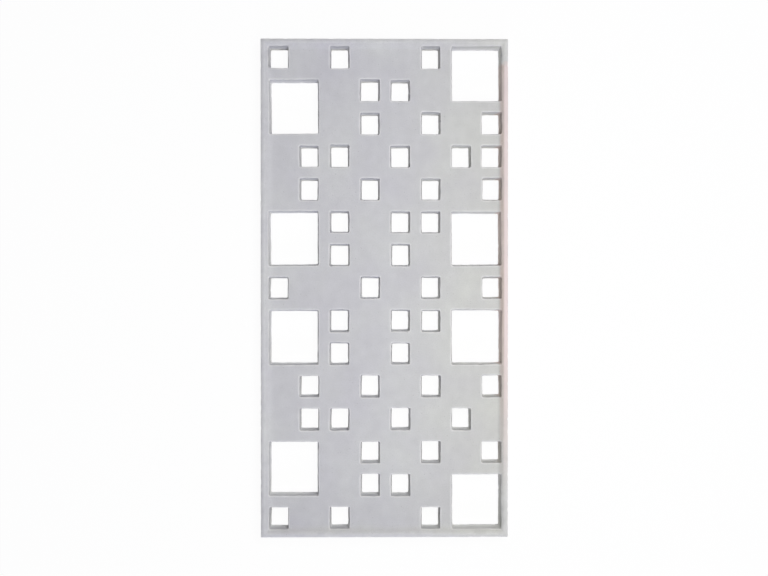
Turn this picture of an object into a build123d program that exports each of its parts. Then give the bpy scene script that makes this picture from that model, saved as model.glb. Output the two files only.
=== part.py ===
"""A cast concrete lattice screen: one flat panel with a raised rim and square openings on a grid.

The panel lies on its back. X runs across it, Y along it, and Z up out of its face.
The origin is the middle of the back. All sizes are in millimetres.
"""

import os

from build123d import *

# Outer size of the casting
panel_width = 600.0
panel_length = 1210.0
panel_thickness = 50.0

# The rim stands proud of the field. Its inner side slopes down to the field.
rim_width = 10.0
rim_slope_run = 12.5
rim_height = 8.0

# The rim's top falls gently outwards over this width, so that it sheds water
crown_width = 7.0
crown_fall = 1.5

# Radii along the rim: at its outer edge, and at the crest and the foot of the slope
outer_radius = 2.0
crest_radius = 8.0
foot_radius = 10.0

# The openings lie on a grid of 8 columns by 15 rows
columns = 8
rows = 15
column_pitch = 74.0
row_pitch = 80.0

# A small opening's size at the back. A large one adds a pitch each way, as it takes four cells.
small_width = 39.8
small_length = 46.0
large_width = small_width + column_pitch
large_length = small_length + row_pitch

# Every side of an opening leans out by this much from the back to the level of the rim's top
opening_draft = 4.0

# The grid sits a little to the right of the panel's middle, and a little above it
grid_shift_right = 1.8
grid_shift_up = 1.1

# Row by row from the top of the panel: the columns that hold a small opening
small_columns_by_row = [
    (1, 3, 6),
    (4, 5),
    (4, 6, 8),
    (2, 3, 5, 7, 8),
    (2, 4, 6, 8),
    (3, 5, 6),
    (3, 5),
    (1, 4, 6, 8),
    (3, 5, 6),
    (3, 5),
    (2, 4, 6, 8),
    (2, 3, 5, 7),
    (4, 6, 8),
    (4, 5),
    (1, 3, 6),
]

# The first column and the first row of each large opening
large_first_cells = [(7, 1), (1, 2), (1, 6), (7, 6), (1, 9), (7, 9), (1, 13), (7, 14)]


def place(column, row):
    """The middle of a cell. Columns count from the left and rows from the top, both from 1."""
    x = (column - (columns + 1) / 2) * column_pitch + grid_shift_right
    y = ((rows + 1) / 2 - row) * row_pitch + grid_shift_up
    return x, y


small_places = [
    place(column, row)
    for row, filled in enumerate(small_columns_by_row, start=1)
    for column in filled
]
# A large opening's middle is half a cell on from the middle of its first cell
large_places = [place(column + 0.5, row + 0.5) for column, row in large_first_cells]

# The space of one small opening
with BuildPart() as small_core:
    with BuildSketch():
        Rectangle(small_width, small_length)
    with BuildSketch(Plane.XY.offset(panel_thickness)):
        Rectangle(small_width + 2 * opening_draft, small_length + 2 * opening_draft)
    loft()

# The space of one large opening
with BuildPart() as large_core:
    with BuildSketch():
        Rectangle(large_width, large_length)
    with BuildSketch(Plane.XY.offset(panel_thickness)):
        Rectangle(large_width + 2 * opening_draft, large_length + 2 * opening_draft)
    loft()

# The space above the field, inside the rim
inner_width = panel_width - 2 * rim_width
inner_length = panel_length - 2 * rim_width
with BuildPart() as field_recess:
    with BuildSketch(Plane.XY.offset(panel_thickness - rim_height)):
        Rectangle(inner_width - 2 * rim_slope_run, inner_length - 2 * rim_slope_run)
    with BuildSketch(Plane.XY.offset(panel_thickness)):
        Rectangle(inner_width, inner_length)
    loft()
    fillet(field_recess.edges().group_by(Axis.Z)[0], foot_radius)

# The casting
with BuildPart() as screen_panel:
    with BuildSketch():
        Rectangle(panel_width, panel_length)
    extrude(amount=panel_thickness)
    front = screen_panel.faces().sort_by(Axis.Z)[-1]
    chamfer(front.edges(), crown_width, crown_fall, reference=front)
    # Below the loop round the top come the crown's four mitres, and then the outer loop
    fillet(screen_panel.edges().group_by(Axis.Z)[-3], outer_radius)
    add(field_recess.part, mode=Mode.SUBTRACT)
    rim_top = screen_panel.faces().sort_by(Axis.Z)[-1]
    fillet(rim_top.inner_wires().edges(), crest_radius)
    with Locations(*small_places):
        add(small_core.part, mode=Mode.SUBTRACT)
    with Locations(*large_places):
        add(large_core.part, mode=Mode.SUBTRACT)

screen_panel.part.label = "screen_panel"
os.makedirs("parts", exist_ok=True)
export_step(screen_panel.part, "parts/screen_panel.step")
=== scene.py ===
"""The looks of a cast concrete lattice screen that lies on its back and is seen from straight above.

All lengths are in metres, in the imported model's frame: X across the screen, Y along it, Z out of its face.
"""

import math
import random

import bmesh
import bpy
from mathutils import Matrix, Vector, noise


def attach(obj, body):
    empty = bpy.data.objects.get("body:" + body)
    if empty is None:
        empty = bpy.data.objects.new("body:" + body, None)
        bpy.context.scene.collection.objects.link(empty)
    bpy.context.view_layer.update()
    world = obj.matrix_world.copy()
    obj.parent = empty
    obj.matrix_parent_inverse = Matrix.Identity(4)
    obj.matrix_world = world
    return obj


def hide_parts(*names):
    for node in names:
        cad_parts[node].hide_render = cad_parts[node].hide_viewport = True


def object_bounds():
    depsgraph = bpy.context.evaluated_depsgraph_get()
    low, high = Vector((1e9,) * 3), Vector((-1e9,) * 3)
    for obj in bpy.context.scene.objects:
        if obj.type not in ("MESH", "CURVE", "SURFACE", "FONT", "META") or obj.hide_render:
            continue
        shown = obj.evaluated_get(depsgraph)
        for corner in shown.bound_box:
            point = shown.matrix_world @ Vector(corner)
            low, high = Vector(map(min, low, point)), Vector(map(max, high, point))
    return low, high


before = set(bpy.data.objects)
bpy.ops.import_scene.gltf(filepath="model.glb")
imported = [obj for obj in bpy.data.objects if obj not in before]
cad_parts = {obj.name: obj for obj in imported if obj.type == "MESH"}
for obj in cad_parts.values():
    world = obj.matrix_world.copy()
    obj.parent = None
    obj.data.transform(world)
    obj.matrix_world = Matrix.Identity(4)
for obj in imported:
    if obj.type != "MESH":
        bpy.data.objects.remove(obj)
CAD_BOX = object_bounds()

MM = 0.001
LOW, HIGH = CAD_BOX
MIDDLE = (LOW + HIGH) / 2
WIDTH, LENGTH, THICKNESS = HIGH - LOW

# The photograph's frame in pixels, how many of them show a metre of the screen's face, and the camera's
# place: its foot is a little left of the screen's middle and above it
PICTURE_WIDTH = 768
SENSOR_WIDTH = 36 * MM
FACE_SCALE = 412.3
CAMERA_HEIGHT = 3.28
CAMERA_FOOT = Vector((-0.045, 0.026, 0))
VIEW_SHIFT = Vector((-0.5, 0.35)) / PICTURE_WIDTH

# The rim: its top falls gently outwards. Its inner side slopes to the field, with a rounded crest and foot.
CROWN_WIDTH = 7 * MM
CROWN_FALL = 1.5 * MM
RIM_WIDTH = 10 * MM
SLOPE_RUN = 12.5 * MM
RIM_HEIGHT = 8 * MM
CREST_RADIUS = 8 * MM
FOOT_RADIUS = 10 * MM

# The lattice. Every side of an opening leans out by the draft, from the back to the level of the rim.
COLUMNS = 8
ROWS = 15
COLUMN_PITCH = 74 * MM
ROW_PITCH = 80 * MM
SHIFT_RIGHT = 1.8 * MM
SHIFT_UP = 1.1 * MM
DRAFT = 4 * MM
HALF_WIDTH = 19.9 * MM + DRAFT
HALF_LENGTH = 23 * MM + DRAFT

# Row by row from the top of the screen: the columns that hold a small opening
SMALL_COLUMNS_BY_ROW = [
    (1, 3, 6),
    (4, 5),
    (4, 6, 8),
    (2, 3, 5, 7, 8),
    (2, 4, 6, 8),
    (3, 5, 6),
    (3, 5),
    (1, 4, 6, 8),
    (3, 5, 6),
    (3, 5),
    (2, 4, 6, 8),
    (2, 3, 5, 7),
    (4, 6, 8),
    (4, 5),
    (1, 3, 6),
]

# The first column and the first row of each large opening, which takes four cells
LARGE_FIRST_CELLS = [(7, 1), (1, 2), (1, 6), (7, 6), (1, 9), (7, 9), (1, 13), (7, 14)]

# The mesh: cuts across an opening and beside its arris, and cuts from the outer edge in over the rim
STEPS_ACROSS = 8
STRIP_LINES = [4.5 * MM, 8.8 * MM]
RIM_LINES = [3.6 * MM, 7.2 * MM, 9.8 * MM, 12 * MM, 16 * MM, 20 * MM, 22.8 * MM, 25.5 * MM]
CLOSEST_LINES = 2.2 * MM
WALL_LEVELS = [9 * MM, 18 * MM, 27 * MM, 35 * MM]

# How far the edges are rounded, and how far a cut keeps from the corner of an opening to leave room for that
ARRIS_WIDTH = 1.7 * MM
CORNER_WIDTH = 3 * MM
CORNER_ROOM = 4.4 * MM
ROUNDING_STEPS = 3
SHARP_ANGLE = math.radians(42)
SMOOTH_ANGLE = math.radians(40)

# A length that counts as none, points that count as one, and the least Z of a level face's normal
TINY = 0.1 * MM
SAME_POINT = 0.01 * MM
LEVEL = 0.5

# How uneven the casting is: each opening's core sat a little off, and this dies away beside the opening
CORE_SHIFT = 0.7 * MM
CORE_STRETCH = 0.7 * MM
CORE_TURN = math.radians(0.5)
CORE_REACH = 12 * MM
SEED = 11

# How far the surface wanders, over what length, and the seed of that pattern
WARP = 0.7 * MM
WARP_LENGTH = 60 * MM
WARP_SEED = 3
RAGGED = 0.6 * MM
RAGGED_LENGTH = 15 * MM
RAGGED_SEED = 8
SAG = 0.8 * MM
SAG_LENGTH = 110 * MM
SAG_SEED = 5
SAG_BIAS = 0.3

# The dents along the arrises, and how far the rim's top beside them is paler, partly from wear and partly a
# painted highlight
DENT = 2.2 * MM
DENT_LENGTH = 9 * MM
DENT_RARITY = 0.22
RIM_WEAR_AND_HIGHLIGHT = 0.4

# The concrete's patterns. The sand's grains are really about 0.5 mm. They are drawn larger, so that they
# show at this distance. The largest pinhole's reach is a share of the spacing, and the tone is that of its
# middle, a painted shade. A point lower than the back's level is on the back.
CLOUD_SIZE = 120 * MM
PATCH_SIZE = 24 * MM
GRAIN_SIZE = 2.2 * MM
PINHOLE_SPACING = 7 * MM
PINHOLE_REACH = 0.16
# Painted shade: the darker tone at a pinhole's middle, which also sets how deep its relief goes
PINHOLE_SHADE_TONE = 0.45
SCREED_LENGTH = 150 * MM
SCREED_WIDTH = 5 * MM
BACK_LEVEL = 1 * MM

# The values that noise mostly lies between, and how far the patches and the sand change the tone
NOISE_LOW = 0.25
NOISE_HIGH = 0.75
MOTTLE = 0.04
SPECKLE = 0.06

# The heights of the relief, and the gloss
GRAIN_HEIGHT = 0.12 * MM
PINHOLE_HEIGHT = 0.6 * MM
SCREED_HEIGHT = 0.8 * MM
SPECULAR = 0.3
ROUGHNESS_LOW = 0.8
ROUGHNESS_HIGH = 0.96

# The concrete's colours. The wash, the painted shade above the bottom rim and the rust multiply what is
# under them.
BLUE_GREY = "#C3C2C9"
WARM_GREY = "#D2D4D1"
# Partly rubbed wear, partly a painted highlight: the paler grey of the arrises and the rim's top
RUBBED_AND_HIGHLIGHT_GREY = "#E6E6E5"
# Painted light: the pale grey that the walls of the openings are painted towards the back
WALL_PAINTED_LIGHT_GREY = "#EEEEEC"
WARM_WASH = "#FFFFF8"
# Painted shade: the tone that darkens the face above the bottom rim
PAINTED_BOTTOM_SHADE = "#F9F9F9"
RUST = "#FDECE6"
PINK_BLOOM = "#E6D8D6"

# Painted light: the walls of the openings are painted paler from this share of their depth on, up to this
# much at the back, standing in for light that reaches them from behind
WALL_PAINTED_LIGHT_FROM = 0.3
WALL_PAINTED_LIGHT_SHARE = 0.6

# The warm stain. Along Y it fades in and stops. Along X it starts inside the rim, and its pink bloom is on
# the rim. It leans in down the walls of the openings, and thins out down the outer side.
STAIN_FADES_IN = (-500 * MM, -100 * MM)
STAIN_STOPS = (530 * MM, 550 * MM)
STAIN_RAGGED = 60 * MM
STAIN_STARTS = (WIDTH / 2 - 22 * MM, WIDTH / 2 - 16 * MM)
BLOOM_STARTS = (WIDTH / 2 - 11 * MM, WIDTH / 2 - 8 * MM)
BLOOM_STRENGTH = 0.9
STAIN_LEANS = 12 * MM
STAIN_THINS = (8 * MM, 40 * MM)
OUTER_SIDE = WIDTH / 2 - 1.5 * MM

# The stain is weakest where the clouds are below the first of these, and this is its least strength there
STAIN_GAPS = (0.3, 0.6)
STAIN_LEAST = 0.7

# A faint wash grows along X towards the stain. Along Y, a painted shade darkens the face towards the bottom
# rim and ends there.
WASH_SPREADS = (20 * MM, 270 * MM)
BOTTOM_SHADE_GATHERS = (-450 * MM, -560 * MM)
BOTTOM_SHADE_ENDS = (-585 * MM, -575 * MM)

# The studio: the floor and how white it is to the camera, the light from all round, and the softboxes.
# Each softbox has a name, a place, its power in watts and its colour, and is a square of the same size.
FLOOR_SIZE = 40
FLOOR_COLOUR = "#F8F8F8"
FLOOR_ROUGHNESS = 0.9
FLOOR_WHITE = 0.96
SKY_STRENGTH = 0.06
SOFTBOX_SIZE = 1.0
SOFTBOXES = [
    ("front_softbox", Vector((0.9, 1.1, 3.1)), 55, "#F6F5FF"),
    ("right_softbox", Vector((0.5, -0.3, 1.7)), 14, "#FFFEED"),
    ("near_softbox", Vector((0.4, -5.0, 3.0)), 104, "#DBDDFF"),
]


def select_only(piece):
    """Makes one piece the active and only selected one."""
    bpy.ops.object.select_all(action="DESELECT")
    piece.select_set(True)
    bpy.context.view_layer.objects.active = piece


def linear(hex_colour):
    """An sRGB hex colour as linear red, green, blue and alpha."""
    parts = [int(hex_colour[i : i + 2], 16) / 255 for i in (1, 3, 5)]
    return [c / 12.92 if c <= 0.04045 else ((c + 0.055) / 1.055) ** 2.4 for c in parts] + [1.0]


def add_node(tree, kind, settings=None, links=None):
    """Adds a node. settings holds attributes by name and socket values by index or name in brackets."""
    node = tree.nodes.new(kind)
    for name, value in (settings or {}).items():
        if isinstance(name, str):
            setattr(node, name, value)
        else:
            node.inputs[name[0]].default_value = value
    for socket, source in (links or {}).items():
        tree.links.new(source, node.inputs[socket])
    return node


# The lattice's places


def column_middle(column):
    return (column - (COLUMNS + 1) / 2) * COLUMN_PITCH + SHIFT_RIGHT


def row_middle(row):
    return ((ROWS + 1) / 2 - row) * ROW_PITCH + SHIFT_UP


COLUMN_MIDDLES = [column_middle(column) for column in range(1, COLUMNS + 1)]
ROW_MIDDLES = [row_middle(row) for row in range(1, ROWS + 1)]


def opening_by_cell():
    """For each cell with an opening: the opening's middle, half width and half length at the rim's level."""
    cells = {}
    for row, filled in enumerate(SMALL_COLUMNS_BY_ROW, start=1):
        for column in filled:
            cells[column, row] = (column_middle(column), row_middle(row), HALF_WIDTH, HALF_LENGTH)
    for column, row in LARGE_FIRST_CELLS:
        x = column_middle(column + 0.5)
        y = row_middle(row + 0.5)
        large = (x, y, HALF_WIDTH + COLUMN_PITCH / 2, HALF_LENGTH + ROW_PITCH / 2)
        for cell in ((column, row), (column + 1, row), (column, row + 1), (column + 1, row + 1)):
            cells[cell] = large
    return cells


OPENINGS = opening_by_cell()


def opening_at(point):
    """The opening of the cell that a point is in, or None in a solid cell."""
    column = round((point.x - SHIFT_RIGHT) / COLUMN_PITCH + (COLUMNS + 1) / 2)
    row = round((ROWS + 1) / 2 - (point.y - SHIFT_UP) / ROW_PITCH)
    cell = (max(1, min(COLUMNS, column)), max(1, min(ROWS, row)))
    return OPENINGS.get(cell)


def edge_reach(point):
    """The distance in from the nearest outer side."""
    return min(WIDTH / 2 - abs(point.x), LENGTH / 2 - abs(point.y))


def opening_reach(point, opening):
    """The distance out from an opening's side, less than zero inside it."""
    x, y, half_width, half_length = opening
    return max(abs(point.x - x) - half_width, abs(point.y - y) - half_length)


# The casting


def mesh_lines(middles, half_opening, pitch, half_panel):
    """Where the mesh is cut across one axis: at the openings' sides, and elsewhere where there is room."""
    kept = []
    for middle in middles:
        kept += [middle - half_opening, middle + half_opening]
    lines = []
    for reach in RIM_LINES:
        lines += [reach - half_panel, half_panel - reach]
    for middle in middles:
        for strip in STRIP_LINES:
            lines += [middle - half_opening - strip, middle + half_opening + strip]
        lines += [middle - pitch / 2, middle + pitch / 2]
        for step in range(1, STEPS_ACROSS):
            lines.append(middle + half_opening * (2 * step / STEPS_ACROSS - 1))
    for line in lines:
        offset = min(abs(line - middle) for middle in middles)
        roomy = not half_opening - CORNER_ROOM < offset < half_opening + CLOSEST_LINES
        apart = all(abs(line - other) > CLOSEST_LINES for other in kept)
        if roomy and apart and abs(line) <= half_panel - RIM_LINES[0]:
            kept.append(line)
    return sorted(kept)


def sharp(edge):
    """Whether an edge is an arris that the cast stone would round."""
    return edge.calc_face_angle(0) > SHARP_ANGLE


def inner_corner(edge):
    """Whether an edge is an upright corner of an opening."""
    upright = abs(edge.verts[0].co.z - edge.verts[1].co.z) > TINY
    return upright and sharp(edge) and edge_reach(edge.verts[0].co) > TINY


def select_edges(piece, wanted):
    """Selects in edit mode just the edges that a test picks out."""
    mesh = bmesh.from_edit_mesh(piece.data)
    mesh.normal_update()
    bpy.ops.mesh.select_all(action="DESELECT")
    for edge in mesh.edges:
        if wanted(edge):
            edge.select = True
    bmesh.update_edit_mesh(piece.data)


def cut(lines, axis):
    """Cuts the mesh across with a plane at each of the lines."""
    for line in lines:
        bpy.ops.mesh.select_all(action="SELECT")
        bpy.ops.mesh.bisect(plane_co=axis * line, plane_no=axis)


def open_lattice(piece):
    """Takes out the front and back of each opening, and draws its walls from the front down to the back."""
    bpy.ops.mesh.select_mode(type="FACE")
    mesh = bmesh.from_edit_mesh(piece.data)
    for face in mesh.faces:
        place = face.calc_center_median()
        opening = opening_at(place)
        level = abs(face.normal.z) > LEVEL
        face.select = level and opening is not None and opening_reach(place, opening) < 0
    bmesh.update_edit_mesh(piece.data)
    bpy.ops.mesh.delete(type="FACE")
    bpy.ops.mesh.select_mode(type="EDGE")
    select_edges(piece, lambda edge: edge.is_boundary and edge.verts[0].co.z > THICKNESS / 2)
    bpy.ops.mesh.extrude_edges_move(TRANSFORM_OT_translate={"value": (0, 0, -THICKNESS)})
    bpy.ops.mesh.select_all(action="SELECT")
    bpy.ops.mesh.remove_doubles(threshold=SAME_POINT)
    bpy.ops.mesh.normals_make_consistent(inside=False)


def rim_drop(reach):
    """How far the front lies below the rim's top, at a distance in from the outer edge."""
    slope = math.atan2(RIM_HEIGHT, SLOPE_RUN)
    crest = CREST_RADIUS * math.tan(slope / 2)
    foot = FOOT_RADIUS * math.tan(slope / 2)
    along = reach - RIM_WIDTH
    if reach < CROWN_WIDTH:
        return CROWN_FALL * (1 - reach / CROWN_WIDTH)
    if along <= -crest:
        return 0
    if along <= crest * math.cos(slope):
        return CREST_RADIUS - math.sqrt(CREST_RADIUS**2 - (along + crest) ** 2)
    if along <= SLOPE_RUN - foot * math.cos(slope):
        return along * math.tan(slope)
    if along <= SLOPE_RUN + foot:
        return RIM_HEIGHT - FOOT_RADIUS + math.sqrt(FOOT_RADIUS**2 - (SLOPE_RUN + foot - along) ** 2)
    return RIM_HEIGHT


def drafted(place, middles, half_opening, pitch, lean):
    """Moves a place on one axis so that the openings are narrower by the lean on each side."""
    middle = min(middles, key=lambda m: abs(m - place))
    offset = abs(place - middle)
    if offset <= half_opening:
        offset *= (half_opening - lean) / half_opening
    elif offset < pitch / 2:
        web = pitch / 2 - half_opening
        offset = pitch / 2 - (pitch / 2 - offset) * (web + lean) / web
    return middle + math.copysign(offset, place - middle)


def shape_front_and_draft(mesh):
    """Lowers the front to the rim's profile and leans the walls of the openings."""
    for vertex in mesh.vertices:
        reach = edge_reach(vertex.co)
        if vertex.co.z > THICKNESS - TINY:
            vertex.co.z = THICKNESS - rim_drop(reach)
        if reach > TINY:
            lean = DRAFT * (1 - vertex.co.z / THICKNESS)
            vertex.co.x = drafted(vertex.co.x, COLUMN_MIDDLES, HALF_WIDTH, COLUMN_PITCH, lean)
            vertex.co.y = drafted(vertex.co.y, ROW_MIDDLES, HALF_LENGTH, ROW_PITCH, lean)


def misplace_openings(mesh):
    """Shifts, stretches and turns each opening a little, as its core sat in the mould."""
    draw = random.Random(SEED)
    moves = {}
    for opening in OPENINGS.values():
        if opening not in moves:
            shift = Vector((draw.uniform(-1, 1), draw.uniform(-1, 1))) * CORE_SHIFT
            stretch = Vector((draw.uniform(-1, 1), draw.uniform(-1, 1))) * CORE_STRETCH
            moves[opening] = (shift, stretch, Matrix.Rotation(draw.uniform(-1, 1) * CORE_TURN, 2))
    for vertex in mesh.vertices:
        opening = opening_at(vertex.co)
        if opening is None or edge_reach(vertex.co) < TINY:
            continue
        share = 1 - max(0, min(1, opening_reach(vertex.co, opening) / CORE_REACH))
        shift, stretch, turn = moves[opening]
        offset = vertex.co.xy - Vector(opening[:2])
        wider = Vector((offset.x * (1 + stretch.x / opening[2]), offset.y * (1 + stretch.y / opening[3])))
        vertex.co.xy += (turn @ wider + shift - offset) * share * min(1, edge_reach(vertex.co) / CORE_REACH)


def wobble(point, length, seed):
    """A smooth wandering vector of about unit size, that changes over the given length."""
    return noise.noise_vector(point / length + Vector((seed, seed * 1.7, -seed)))


def make_uneven(mesh):
    """Lets the openings' sides wander and the front sag, and leaves the outline straight.

    Blender's vector noise starts from the clock unless it is given a seed.
    """
    noise.seed_set(SEED)
    for vertex in mesh.vertices:
        share = max(0, min(1, edge_reach(vertex.co) / CORE_REACH))
        drift = WARP * wobble(vertex.co, WARP_LENGTH, WARP_SEED)
        drift += RAGGED * wobble(vertex.co, RAGGED_LENGTH, RAGGED_SEED)
        vertex.co.xy += drift.xy * share
        if vertex.co.z > THICKNESS - RIM_HEIGHT - TINY:
            vertex.co.z -= SAG * max(0, SAG_BIAS + wobble(vertex.co, SAG_LENGTH, SAG_SEED).z)


def keep_in_box(point):
    """A point moved back inside the box of the casting."""
    return Vector(max(low, min(high, value)) for low, value, high in zip(LOW, point, HIGH))


def dent_arrises_and_mark_highlights(mesh):
    """Dents the rounded arrises, which the bevel has left selected.

    Two attributes are kept for the material: how much wear and painted highlight a point gets, and how deep
    in an opening it lies.
    """
    normals = [vertex.normal.copy() for vertex in mesh.vertices]
    wear_and_highlight = mesh.attributes.new("arris_wear_and_highlight", "FLOAT", "POINT").data
    depths = mesh.attributes.new("wall_depth", "FLOAT", "POINT").data
    for vertex, normal in zip(mesh.vertices, normals):
        reach = edge_reach(vertex.co)
        on_rim = normal.z > LEVEL and reach < RIM_WIDTH
        in_wall = abs(normal.z) < LEVEL and reach > RIM_WIDTH
        # The arrises and the rim's top are marked for a paler colour: partly wear, partly a painted
        # highlight
        wear_and_highlight[vertex.index].value = max(float(vertex.select), RIM_WEAR_AND_HIGHLIGHT * on_rim)
        depths[vertex.index].value = in_wall * (1 - vertex.co.z / THICKNESS)
        depth = vertex.select * DENT * max(0, noise.noise(vertex.co / DENT_LENGTH) - DENT_RARITY)
        vertex.co = keep_in_box(vertex.co - normal * depth)


def concrete_screen():
    """The casting: a slab cut by the lattice's lines, opened, drafted, rounded and made uneven."""
    bpy.ops.object.select_all(action="DESELECT")
    bpy.ops.mesh.primitive_cube_add(size=1, location=MIDDLE, scale=(WIDTH, LENGTH, THICKNESS))
    piece = bpy.context.active_object
    piece.name = "concrete_screen"
    bpy.ops.object.transform_apply(location=True, rotation=True, scale=True)
    bpy.ops.object.mode_set(mode="EDIT")
    cut(mesh_lines(COLUMN_MIDDLES, HALF_WIDTH, COLUMN_PITCH, WIDTH / 2), Vector((1, 0, 0)))
    cut(mesh_lines(ROW_MIDDLES, HALF_LENGTH, ROW_PITCH, LENGTH / 2), Vector((0, 1, 0)))
    open_lattice(piece)
    select_edges(piece, inner_corner)
    bpy.ops.mesh.bevel(offset=CORNER_WIDTH, segments=ROUNDING_STEPS, affect="EDGES")
    cut(WALL_LEVELS, Vector((0, 0, 1)))
    bpy.ops.object.mode_set(mode="OBJECT")
    shape_front_and_draft(piece.data)
    misplace_openings(piece.data)
    make_uneven(piece.data)
    bpy.ops.object.mode_set(mode="EDIT")
    select_edges(piece, sharp)
    bpy.ops.mesh.bevel(offset=ARRIS_WIDTH, segments=ROUNDING_STEPS, affect="EDGES")
    bpy.ops.object.mode_set(mode="OBJECT")
    dent_arrises_and_mark_highlights(piece.data)
    select_only(piece)
    bpy.ops.object.shade_smooth_by_angle(angle=SMOOTH_ANGLE)
    return piece


# The finishes


def concrete_patterns(tree):
    """By name, the outputs that the concrete's colour and its relief are both made from.

    The clouds are where the cement dried unevenly, the patches are from the oil on the mould, and the
    pinholes are from air against it, each of its own size.
    """
    place = add_node(tree, "ShaderNodeTexCoord").outputs["Object"]
    split = add_node(tree, "ShaderNodeSeparateXYZ", {}, {0: place})
    clouds = add_node(tree, "ShaderNodeTexNoise", {("Scale",): 1 / CLOUD_SIZE, ("Detail",): 2.0}, {0: place})
    patches = add_node(
        tree, "ShaderNodeTexNoise", {("Scale",): 1 / PATCH_SIZE, ("Detail",): 4.0}, {0: place}
    )
    sand = add_node(tree, "ShaderNodeTexNoise", {("Scale",): 1 / GRAIN_SIZE, ("Detail",): 3.0}, {0: place})
    pores = add_node(tree, "ShaderNodeTexVoronoi", {("Scale",): 1 / PINHOLE_SPACING}, {0: place})
    pore_sizes = add_node(tree, "ShaderNodeSeparateColor", {}, {0: pores.outputs["Color"]})
    pore_reach = add_node(
        tree,
        "ShaderNodeMath",
        {"operation": "MULTIPLY", (1,): PINHOLE_REACH},
        {0: pore_sizes.outputs["Red"]},
    )
    pinholes = add_node(
        tree,
        "ShaderNodeMapRange",
        {("To Min",): PINHOLE_SHADE_TONE},
        {0: pores.outputs["Distance"], "From Max": pore_reach.outputs[0]},
    )
    wear_and_highlight = add_node(tree, "ShaderNodeAttribute", {"attribute_name": "arris_wear_and_highlight"})
    depth = add_node(tree, "ShaderNodeAttribute", {"attribute_name": "wall_depth"})
    return {
        "place": place,
        "x": split.outputs["X"],
        "y": split.outputs["Y"],
        "z": split.outputs["Z"],
        "clouds": clouds.outputs[0],
        "patches": patches.outputs[0],
        "sand": sand.outputs[0],
        "pinholes": pinholes.outputs[0],
        "wear_and_highlight": wear_and_highlight.outputs["Fac"],
        "depth": depth.outputs["Fac"],
    }


def bare_cement(tree, patterns):
    """The clouded grey of the cement, with the patches and the sand in its tone, and a painted shade in the
    pinholes.
    """
    grey = add_node(
        tree,
        "ShaderNodeMix",
        {"data_type": "RGBA", (6,): linear(BLUE_GREY), (7,): linear(WARM_GREY)},
        {0: patterns["clouds"]},
    )
    mottle = add_node(
        tree,
        "ShaderNodeMapRange",
        {
            ("From Min",): NOISE_LOW,
            ("From Max",): NOISE_HIGH,
            ("To Min",): 1 - MOTTLE,
            ("To Max",): 1 + MOTTLE,
        },
        {0: patterns["patches"]},
    )
    speckle = add_node(
        tree,
        "ShaderNodeMapRange",
        {
            ("From Min",): NOISE_LOW,
            ("From Max",): NOISE_HIGH,
            ("To Min",): 1 - SPECKLE,
            ("To Max",): 1 + SPECKLE,
        },
        {0: patterns["sand"]},
    )
    tone = add_node(
        tree, "ShaderNodeMath", {"operation": "MULTIPLY"}, {0: mottle.outputs[0], 1: speckle.outputs[0]}
    )
    # Painted shade: the pinholes are darker at their middles
    pinhole_shaded = add_node(
        tree, "ShaderNodeMath", {"operation": "MULTIPLY"}, {0: tone.outputs[0], 1: patterns["pinholes"]}
    )
    toned = add_node(
        tree,
        "ShaderNodeMix",
        {"data_type": "RGBA", "blend_type": "MULTIPLY", (0,): 1.0},
        {6: grey.outputs[2], 7: pinhole_shaded.outputs[0]},
    )
    return toned.outputs[2]


def washed_and_bottom_shaded(tree, patterns, colour):
    """A faint warm wash that spreads in from the stained side, and a painted shade that darkens the face
    above the bottom rim.
    """
    wash = add_node(
        tree,
        "ShaderNodeMapRange",
        {("From Min",): WASH_SPREADS[0], ("From Max",): WASH_SPREADS[1]},
        {0: patterns["x"]},
    )
    washed = add_node(
        tree,
        "ShaderNodeMix",
        {"data_type": "RGBA", "blend_type": "MULTIPLY", (7,): linear(WARM_WASH)},
        {0: wash.outputs[0], 6: colour},
    )
    gathered = add_node(
        tree,
        "ShaderNodeMapRange",
        {("From Min",): BOTTOM_SHADE_GATHERS[0], ("From Max",): BOTTOM_SHADE_GATHERS[1]},
        {0: patterns["y"]},
    )
    above_rim = add_node(
        tree,
        "ShaderNodeMapRange",
        {("From Min",): BOTTOM_SHADE_ENDS[0], ("From Max",): BOTTOM_SHADE_ENDS[1]},
        {0: patterns["y"]},
    )
    # Painted shade: darker towards the bottom rim
    bottom_shade = add_node(
        tree, "ShaderNodeMath", {"operation": "MULTIPLY"}, {0: gathered.outputs[0], 1: above_rim.outputs[0]}
    )
    bottom_shaded = add_node(
        tree,
        "ShaderNodeMix",
        {"data_type": "RGBA", "blend_type": "MULTIPLY", (7,): linear(PAINTED_BOTTOM_SHADE)},
        {0: bottom_shade.outputs[0], 6: washed.outputs[2]},
    )
    return bottom_shaded.outputs[2]


def rub_highlight_and_wall_light(tree, patterns, colour):
    """The skin is paler along the arrises and the rim, more in some places than in others: partly from
    rubbing, partly a painted highlight.

    The walls of the openings are painted paler towards the back: painted light standing in for light that
    reaches them from behind.
    """
    # Partly wear, partly a painted highlight along the arrises and on the rim's top
    rub_and_highlight = add_node(
        tree, "ShaderNodeMath", {"operation": "MULTIPLY"}, {0: patterns["wear_and_highlight"], 1: patterns["patches"]}
    )
    wear_and_highlight_colour = add_node(
        tree,
        "ShaderNodeMix",
        {"data_type": "RGBA", (7,): linear(RUBBED_AND_HIGHLIGHT_GREY)},
        {0: rub_and_highlight.outputs[0], 6: colour},
    )
    deep = add_node(
        tree,
        "ShaderNodeMapRange",
        {("From Min",): WALL_PAINTED_LIGHT_FROM, ("To Max",): WALL_PAINTED_LIGHT_SHARE},
        {0: patterns["depth"]},
    )
    # Painted light: the walls are painted paler towards the back, standing in for light that reaches them
    # from behind
    wall_light_colour = add_node(
        tree,
        "ShaderNodeMix",
        {"data_type": "RGBA", (7,): linear(WALL_PAINTED_LIGHT_GREY)},
        {0: deep.outputs[0], 6: wear_and_highlight_colour.outputs[2]},
    )
    return wall_light_colour.outputs[2]


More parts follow.
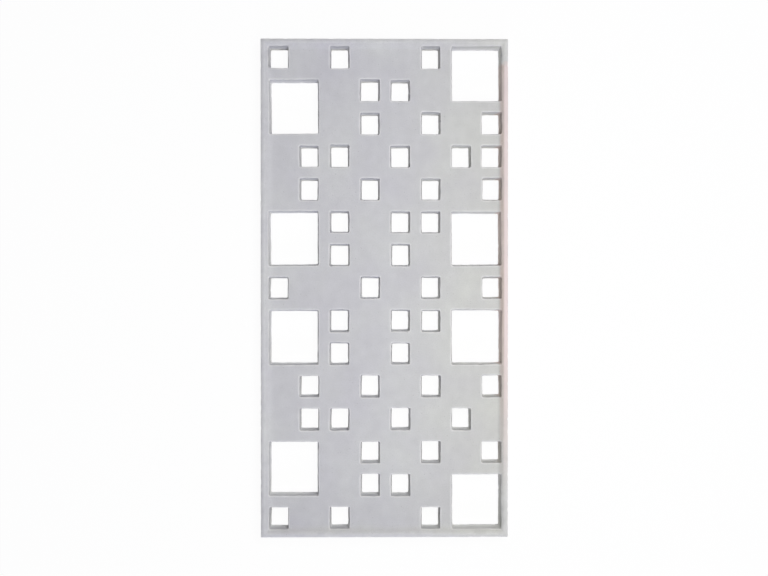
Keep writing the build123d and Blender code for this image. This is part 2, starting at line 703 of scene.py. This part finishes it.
def stain_strength(tree, patterns):
    """How strong the warm stain is along the right side, from 0 to 1.

    It fades towards the bottom, stops short of the top at a ragged line, is a little weaker in places, and
    thins out down the outer side.
    """
    faded = add_node(
        tree,
        "ShaderNodeMapRange",
        {("From Min",): STAIN_FADES_IN[0], ("From Max",): STAIN_FADES_IN[1]},
        {0: patterns["y"]},
    )
    ragged = add_node(
        tree,
        "ShaderNodeMath",
        {"operation": "MULTIPLY_ADD", (1,): STAIN_RAGGED},
        {0: patterns["patches"], 2: patterns["y"]},
    )
    stopped = add_node(
        tree,
        "ShaderNodeMapRange",
        {
            ("From Min",): STAIN_STOPS[0] + STAIN_RAGGED / 2,
            ("From Max",): STAIN_STOPS[1] + STAIN_RAGGED / 2,
            ("To Min",): 1.0,
            ("To Max",): 0.0,
        },
        {0: ragged.outputs[0]},
    )
    along = add_node(
        tree, "ShaderNodeMath", {"operation": "MULTIPLY"}, {0: faded.outputs[0], 1: stopped.outputs[0]}
    )
    broken = add_node(
        tree,
        "ShaderNodeMapRange",
        {("From Min",): STAIN_GAPS[0], ("From Max",): STAIN_GAPS[1], ("To Min",): STAIN_LEAST},
        {0: patterns["clouds"]},
    )
    thinned = add_node(
        tree,
        "ShaderNodeMapRange",
        {("From Min",): STAIN_THINS[0], ("From Max",): STAIN_THINS[1]},
        {0: patterns["z"]},
    )
    inside = add_node(
        tree, "ShaderNodeMath", {"operation": "LESS_THAN", (1,): OUTER_SIDE}, {0: patterns["x"]}
    )
    lasting = add_node(
        tree, "ShaderNodeMath", {"operation": "MAXIMUM"}, {0: thinned.outputs[0], 1: inside.outputs[0]}
    )
    uneven = add_node(
        tree, "ShaderNodeMath", {"operation": "MULTIPLY"}, {0: broken.outputs[0], 1: lasting.outputs[0]}
    )
    strength = add_node(
        tree, "ShaderNodeMath", {"operation": "MULTIPLY"}, {0: along.outputs[0], 1: uneven.outputs[0]}
    )
    return strength.outputs[0]


def stained(tree, patterns, colour):
    """The warm stain: rust on the rim's slope and the walls, and a pale pink bloom on the rim's top."""
    strength = stain_strength(tree, patterns)
    leaned = add_node(
        tree,
        "ShaderNodeMath",
        {"operation": "MULTIPLY_ADD", (1,): STAIN_LEANS},
        {0: patterns["depth"], 2: patterns["x"]},
    )
    by_rim = add_node(
        tree,
        "ShaderNodeMapRange",
        {("From Min",): STAIN_STARTS[0], ("From Max",): STAIN_STARTS[1]},
        {0: leaned.outputs[0]},
    )
    rust = add_node(tree, "ShaderNodeMath", {"operation": "MULTIPLY"}, {0: strength, 1: by_rim.outputs[0]})
    rusty = add_node(
        tree,
        "ShaderNodeMix",
        {"data_type": "RGBA", "blend_type": "MULTIPLY", (7,): linear(RUST)},
        {0: rust.outputs[0], 6: colour},
    )
    on_top = add_node(
        tree,
        "ShaderNodeMapRange",
        {("From Min",): BLOOM_STARTS[0], ("From Max",): BLOOM_STARTS[1], ("To Max",): BLOOM_STRENGTH},
        {0: leaned.outputs[0]},
    )
    bloom = add_node(tree, "ShaderNodeMath", {"operation": "MULTIPLY"}, {0: strength, 1: on_top.outputs[0]})
    bloomed = add_node(
        tree,
        "ShaderNodeMix",
        {"data_type": "RGBA", (7,): linear(PINK_BLOOM)},
        {0: bloom.outputs[0], 6: rusty.outputs[2]},
    )
    return bloomed.outputs[2]


def concrete_relief(tree, patterns):
    """The relief of the sand, the pinholes and the back.

    The back is struck off with a board, which leaves faint ridges along X that waver a little.
    """
    ridges = add_node(
        tree,
        "ShaderNodeMapping",
        {("Scale",): (1 / SCREED_LENGTH, 1 / SCREED_WIDTH, 1 / SCREED_WIDTH)},
        {0: patterns["place"]},
    )
    screed = add_node(
        tree, "ShaderNodeTexNoise", {("Scale",): 1.0, ("Detail",): 3.0}, {0: ridges.outputs[0]}
    )
    on_back = add_node(
        tree, "ShaderNodeMath", {"operation": "LESS_THAN", (1,): BACK_LEVEL}, {0: patterns["z"]}
    )
    struck = add_node(
        tree, "ShaderNodeMath", {"operation": "MULTIPLY"}, {0: screed.outputs[0], 1: on_back.outputs[0]}
    )
    grainy = add_node(
        tree,
        "ShaderNodeBump",
        {("Strength",): 1.0, ("Distance",): GRAIN_HEIGHT},
        {"Height": patterns["sand"]},
    )
    pitted = add_node(
        tree,
        "ShaderNodeBump",
        {("Strength",): 1.0, ("Distance",): PINHOLE_HEIGHT},
        {"Height": patterns["pinholes"], "Normal": grainy.outputs[0]},
    )
    ridged = add_node(
        tree,
        "ShaderNodeBump",
        {("Strength",): 1.0, ("Distance",): SCREED_HEIGHT},
        {"Height": struck.outputs[0], "Normal": pitted.outputs[0]},
    )
    return ridged.outputs[0]


def cast_concrete():
    """Grey cement concrete, cast in a smooth mould and left bare.

    It gives the eye a matt, faintly clouded grey with fine sand in it, a few pinholes with painted shade in
    them, paler arrises and rim, partly from rubbing and partly a painted highlight, walls painted paler
    towards the back as painted light, a painted shade above the bottom rim, a warm stain down the right rim,
    and screed marks across the back.
    """
    material = bpy.data.materials.new("cast_concrete")
    material.use_nodes = True
    tree = material.node_tree
    shader = tree.nodes["Principled BSDF"]
    shader.inputs["Specular IOR Level"].default_value = SPECULAR
    patterns = concrete_patterns(tree)
    colour = bare_cement(tree, patterns)
    colour = washed_and_bottom_shaded(tree, patterns, colour)
    colour = rub_highlight_and_wall_light(tree, patterns, colour)
    colour = stained(tree, patterns, colour)
    tree.links.new(colour, shader.inputs["Base Color"])
    roughness = add_node(
        tree,
        "ShaderNodeMapRange",
        {
            ("From Min",): NOISE_LOW,
            ("From Max",): NOISE_HIGH,
            ("To Min",): ROUGHNESS_LOW,
            ("To Max",): ROUGHNESS_HIGH,
        },
        {0: patterns["patches"]},
    )
    tree.links.new(roughness.outputs[0], shader.inputs["Roughness"])
    tree.links.new(concrete_relief(tree, patterns), shader.inputs["Normal"])
    return material


# The studio


def white_to_camera(tree, lit, surface, share):
    """Mixes in white light of its own that only the camera, mirrors and glass see, by the given share."""
    path = add_node(tree, "ShaderNodeLightPath")
    shiny = add_node(
        tree,
        "ShaderNodeMath",
        {"operation": "MAXIMUM"},
        {0: path.outputs["Is Glossy Ray"], 1: path.outputs["Is Transmission Ray"]},
    )
    seen = add_node(
        tree,
        "ShaderNodeMath",
        {"operation": "MAXIMUM"},
        {0: path.outputs["Is Camera Ray"], 1: shiny.outputs[0]},
    )
    part = add_node(tree, "ShaderNodeMath", {"operation": "MULTIPLY", (1,): share}, {0: seen.outputs[0]})
    mix = add_node(tree, "ShaderNodeMixShader", {}, {0: part.outputs[0], 1: lit, 2: surface})
    return mix.outputs[0]


def pale_floor():
    """A matt white studio floor. It is kept near white for the eye, and still takes the screen's shadow."""
    bpy.ops.mesh.primitive_plane_add(size=FLOOR_SIZE)
    floor = bpy.context.active_object
    floor.name = "floor"
    material = bpy.data.materials.new("pale_floor")
    material.use_nodes = True
    tree = material.node_tree
    shader = tree.nodes["Principled BSDF"]
    shader.inputs["Base Color"].default_value = linear(FLOOR_COLOUR)
    shader.inputs["Roughness"].default_value = FLOOR_ROUGHNESS
    white = add_node(tree, "ShaderNodeEmission", {("Strength",): 1.0})
    mixed = white_to_camera(tree, shader.outputs[0], white.outputs[0], FLOOR_WHITE)
    tree.links.new(mixed, tree.nodes["Material Output"].inputs["Surface"])
    floor.data.materials.append(material)


def softbox(name, place, power, colour):
    """A square softbox that points at the middle of the screen."""
    bpy.ops.object.light_add(type="AREA", location=place)
    light = bpy.context.active_object
    light.name = name
    light.data.shape = "SQUARE"
    light.data.size = SOFTBOX_SIZE
    light.data.energy = power
    light.data.color = linear(colour)[:3]
    light.rotation_euler = (MIDDLE - place).to_track_quat("-Z", "Y").to_euler()


def studio():
    """A weak light from all round, and softboxes in front of the screen, to its right and below it."""
    world = bpy.data.worlds.new("studio")
    bpy.context.scene.world = world
    world.use_nodes = True
    tree = world.node_tree
    sky = tree.nodes["Background"]
    sky.inputs["Color"].default_value = (1, 1, 1, 1)
    sky.inputs["Strength"].default_value = SKY_STRENGTH
    white = add_node(tree, "ShaderNodeBackground", {("Color",): (1, 1, 1, 1), ("Strength",): 1.0})
    mixed = white_to_camera(tree, sky.outputs[0], white.outputs[0], 1)
    tree.links.new(mixed, tree.nodes["World Output"].inputs["Surface"])
    for name, place, power, colour in SOFTBOXES:
        softbox(name, place, power, colour)


def camera():
    """The camera of the photograph: high above the screen, turned a little to look at its middle."""
    data = bpy.data.cameras.new("camera")
    eye = bpy.data.objects.new("camera", data)
    bpy.context.scene.collection.objects.link(eye)
    data.sensor_width = SENSOR_WIDTH / MM
    data.lens = FACE_SCALE * CAMERA_HEIGHT / PICTURE_WIDTH * data.sensor_width
    data.shift_x, data.shift_y = VIEW_SHIFT
    eye.location = Vector((MIDDLE.x, MIDDLE.y, HIGH.z + CAMERA_HEIGHT)) + CAMERA_FOOT
    tilt = -math.atan2(CAMERA_FOOT.y, CAMERA_HEIGHT)
    swing = math.atan2(CAMERA_FOOT.x, CAMERA_HEIGHT)
    eye.rotation_euler = (tilt, swing, 0)
    bpy.context.scene.camera = eye


camera()
pale_floor()
studio()
screen = concrete_screen()
screen.data.materials.clear()
screen.data.materials.append(cast_concrete())
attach(screen, "root")
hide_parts("screen_panel")

bpy.context.scene.view_settings.view_transform = "Standard"
